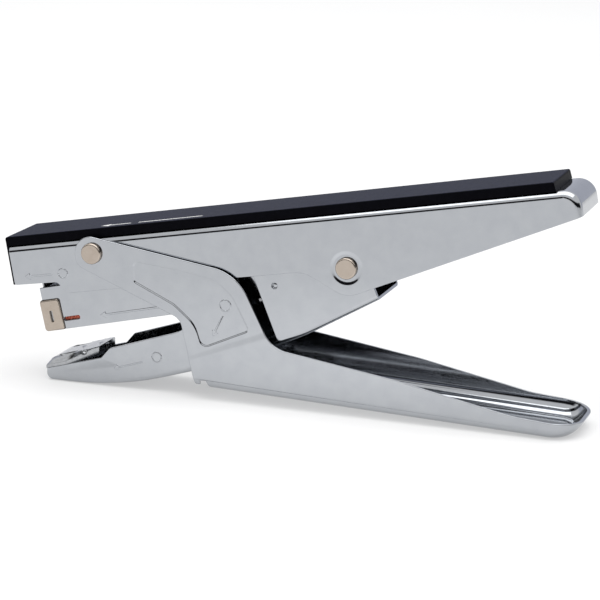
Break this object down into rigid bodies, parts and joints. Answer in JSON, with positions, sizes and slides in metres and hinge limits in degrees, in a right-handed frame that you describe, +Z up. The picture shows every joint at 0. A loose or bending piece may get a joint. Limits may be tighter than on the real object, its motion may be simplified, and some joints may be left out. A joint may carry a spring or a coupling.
{
  "type": "plier stapler",
  "caption": "Hand plier stapler with a black-topped upper handle, a lower lever, an anvil jaw and a front-loading staple magazine.",
  "frame": {"origin": "centre of the footprint, on the surface that the open stapler stands on with its jaw and the tip of its lower handle", "axes": "+X from the jaw towards the handle ends, +Y across, +Z up"},
  "size_m": [0.173, 0.0274, 0.0716],
  "materials": {
    "chrome_sheet": "polished nickel-chrome plate on formed steel sheet",
    "black_plastic": "black plastic, finely grained on top",
    "nickel": "warm nickel plate, slightly satin",
    "copper_wire": "copper-coated steel wire",
    "spring_steel": "oiled spring steel",
    "zinc_steel": "bright zinc-plated steel",
    "hard_steel": "ground hardened steel"
  },
  "bodies": {
    "upper_handle": {"upper_handle_shell": "chrome_sheet", "top_cover": "black_plastic", "cover_push_nuts": "spring_steel", "driver_blade": "hard_steel", "driver_holder": "zinc_steel", "driver_rivets": "zinc_steel", "main_pivot_rivet": "nickel", "pivot_sleeve": "zinc_steel", "main_pivot_washers": "zinc_steel", "front_pivot_rivet": "nickel", "front_pivot_washers": "zinc_steel", "magazine_spring": "spring_steel"},
    "lower_handle": {"lower_handle": "chrome_sheet", "roller_pin": "hard_steel"},
    "roller": {"thrust_roller": "hard_steel"},
    "anvil_arm": {"anvil_arm": "chrome_sheet", "anvil_plate": "hard_steel", "anvil_rivets": "zinc_steel", "return_springs": "spring_steel"},
    "magazine": {"magazine_casing": "chrome_sheet", "magazine_hanger": "zinc_steel", "hanger_rivets": "zinc_steel", "drawer_latch": "spring_steel", "strip_guide": "zinc_steel"},
    "drawer": {"nose_plate": "nickel", "staple_drawer": "zinc_steel", "core_rail": "zinc_steel", "staple_strip": "copper_wire", "guide_rod": "zinc_steel", "pusher_spring": "spring_steel"},
    "pusher": {"pusher": "zinc_steel"}
  },
  "joints": [
    {"name": "lower_handle_squeeze", "type": "hinge", "parent": "upper_handle", "child": "lower_handle", "pos_m": [-0.05773, 0, 0.0404], "axis": [0, -1, 0], "range_deg": [0, 9.6], "stiffness_Nm_per_rad": 1.2, "springref_deg": -34.38},
    {"name": "anvil_arm_close", "type": "hinge", "parent": "upper_handle", "child": "anvil_arm", "pos_m": [0.01897, 0, 0.0428], "axis": [0, 1, 0], "range_deg": [0, 8.4]},
    {"name": "magazine_lift", "type": "hinge", "parent": "upper_handle", "child": "magazine", "pos_m": [0.01897, 0, 0.0428], "axis": [0, 1, 0], "range_deg": [0, 4], "deforming": ["magazine_spring"]},
    {"name": "drawer_slide", "type": "slide", "parent": "magazine", "child": "drawer", "axis": [-0.9748, 0, -0.2233], "range_m": [0, 0.098]},
    {"name": "pusher_slide", "type": "slide", "parent": "drawer", "child": "pusher", "axis": [0.9748, 0, 0.2233], "range_m": [0, 0.02], "stiffness_N_per_m": 20, "springref_m": -0.05, "deforming": ["pusher_spring"]},
    {"name": "roller_spin", "type": "hinge", "parent": "lower_handle", "child": "roller", "pos_m": [-0.0133, 0, 0.00884], "axis": [0, 1, 0], "continuous": true}
  ],
  "couplings": [
    {"joint": "anvil_arm_close", "follows": "lower_handle_squeeze", "ratio": 0.875},
    {"joint": "magazine_lift", "follows": "lower_handle_squeeze", "ratio": 0.41667}
  ]
}
